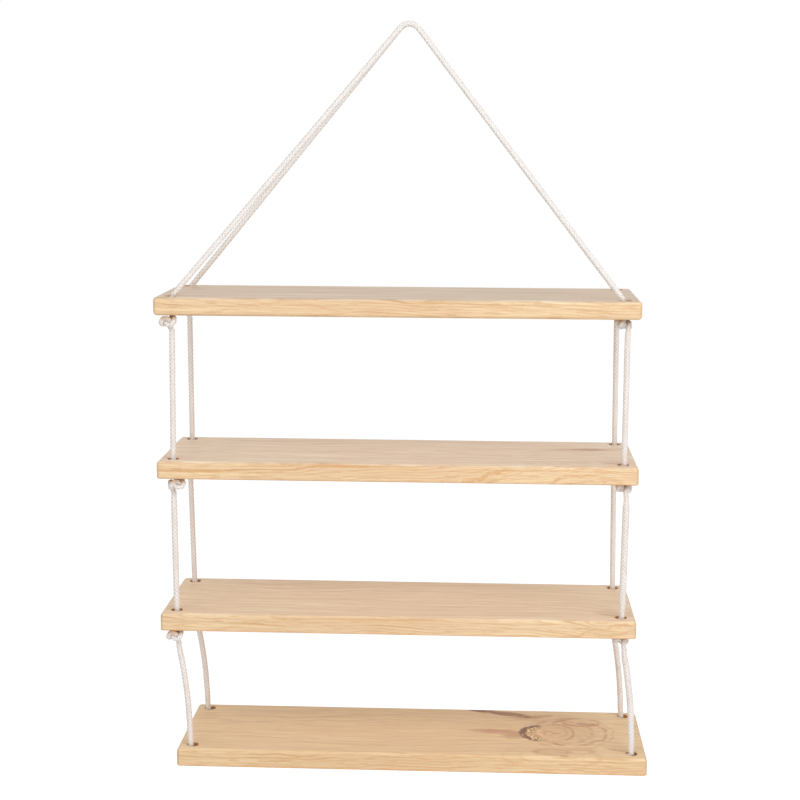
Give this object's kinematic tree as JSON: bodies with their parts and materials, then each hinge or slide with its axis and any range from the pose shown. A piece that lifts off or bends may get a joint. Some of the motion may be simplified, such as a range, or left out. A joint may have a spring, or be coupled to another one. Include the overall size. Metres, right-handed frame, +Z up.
{
  "type": "hanging rope shelf",
  "caption": "Hanging shelf of pine boards threaded on two ropes over one hook, held up by overhand knots; each stage sways to the side.",
  "frame": {"origin": "the underside of the two ropes at the top of their bend, where they hang on the hook", "axes": "+Z up, +X to the right along the boards, the front long edges face -Y"},
  "size_m": [0.5181, 0.1523, 0.7846],
  "materials": {
    "pine": "planed and lightly oiled, matt",
    "cotton_rope": "braided, matt"
  },
  "bodies": {
    "top_shelf": {"top_board": "pine", "top_front_left_knot": "cotton_rope", "top_front_right_knot": "cotton_rope", "top_back_left_knot": "cotton_rope", "top_back_right_knot": "cotton_rope", "front_rope_bend": "cotton_rope", "front_rope_left_leg": "cotton_rope", "front_rope_right_leg": "cotton_rope", "back_rope_bend": "cotton_rope", "back_rope_left_leg": "cotton_rope", "back_rope_right_leg": "cotton_rope"},
    "upper_left_ropes": {"upper_front_left_rope": "cotton_rope", "upper_back_left_rope": "cotton_rope"},
    "upper_right_ropes": {"upper_front_right_rope": "cotton_rope", "upper_back_right_rope": "cotton_rope"},
    "second_shelf": {"second_board": "pine", "second_front_left_knot": "cotton_rope", "second_front_right_knot": "cotton_rope", "second_back_left_knot": "cotton_rope", "second_back_right_knot": "cotton_rope"},
    "middle_left_ropes": {"middle_front_left_rope": "cotton_rope", "middle_back_left_rope": "cotton_rope"},
    "middle_right_ropes": {"middle_front_right_rope": "cotton_rope", "middle_back_right_rope": "cotton_rope"},
    "third_shelf": {"third_board": "pine", "third_front_left_knot": "cotton_rope", "third_front_right_knot": "cotton_rope", "third_back_left_knot": "cotton_rope", "third_back_right_knot": "cotton_rope"},
    "lower_left_ropes": {"lower_front_left_rope": "cotton_rope", "lower_back_left_rope": "cotton_rope"},
    "lower_right_ropes": {"lower_front_right_rope": "cotton_rope", "lower_back_right_rope": "cotton_rope"},
    "bottom_shelf": {"bottom_board": "pine", "bottom_front_left_knot": "cotton_rope", "bottom_front_right_knot": "cotton_rope", "bottom_back_left_knot": "cotton_rope", "bottom_back_right_knot": "cotton_rope"}
  },
  "joints": [
    {"name": "upper_sway", "type": "hinge", "parent": "top_shelf", "child": "upper_left_ropes", "pos_m": [-0.2434, 0, -0.31544], "axis": [0, -1, 0], "range_deg": [-25.4, 24.6]},
    {"name": "upper_right_ropes_swing", "type": "hinge", "parent": "top_shelf", "child": "upper_right_ropes", "pos_m": [0.2256, 0, -0.31544], "axis": [0, -1, 0], "range_deg": [-25.4, 24.6]},
    {"name": "second_shelf_level", "type": "hinge", "parent": "upper_left_ropes", "child": "second_shelf", "pos_m": [-0.2425, 0, -0.4441], "axis": [0, -1, 0], "range_deg": [-24.6, 25.4]},
    {"name": "middle_sway", "type": "hinge", "parent": "second_shelf", "child": "middle_left_ropes", "pos_m": [-0.2425, 0, -0.48644], "axis": [0, -1, 0], "range_deg": [-25.7, 24.3]},
    {"name": "middle_right_ropes_swing", "type": "hinge", "parent": "second_shelf", "child": "middle_right_ropes", "pos_m": [0.2265, 0, -0.48644], "axis": [0, -1, 0], "range_deg": [-25.7, 24.3]},
    {"name": "third_shelf_level", "type": "hinge", "parent": "middle_left_ropes", "child": "third_shelf", "pos_m": [-0.241, 0, -0.6071], "axis": [0, -1, 0], "range_deg": [-24.3, 25.7]},
    {"name": "lower_sway", "type": "hinge", "parent": "third_shelf", "child": "lower_left_ropes", "pos_m": [-0.241, 0, -0.64944], "axis": [0, -1, 0], "range_deg": [-31.7, 18.3]},
    {"name": "lower_right_ropes_swing", "type": "hinge", "parent": "third_shelf", "child": "lower_right_ropes", "pos_m": [0.228, 0, -0.64944], "axis": [0, -1, 0], "range_deg": [-31.7, 18.3]},
    {"name": "bottom_shelf_level", "type": "hinge", "parent": "lower_left_ropes", "child": "bottom_shelf", "pos_m": [-0.2284, 0, -0.7561], "axis": [0, -1, 0], "range_deg": [-18.3, 31.7]}
  ],
  "couplings": [
    {"joint": "upper_right_ropes_swing", "follows": "upper_sway", "ratio": 1},
    {"joint": "second_shelf_level", "follows": "upper_sway", "ratio": -1},
    {"joint": "middle_right_ropes_swing", "follows": "middle_sway", "ratio": 1},
    {"joint": "third_shelf_level", "follows": "middle_sway", "ratio": -1},
    {"joint": "lower_right_ropes_swing", "follows": "lower_sway", "ratio": 1},
    {"joint": "bottom_shelf_level", "follows": "lower_sway", "ratio": -1}
  ]
}
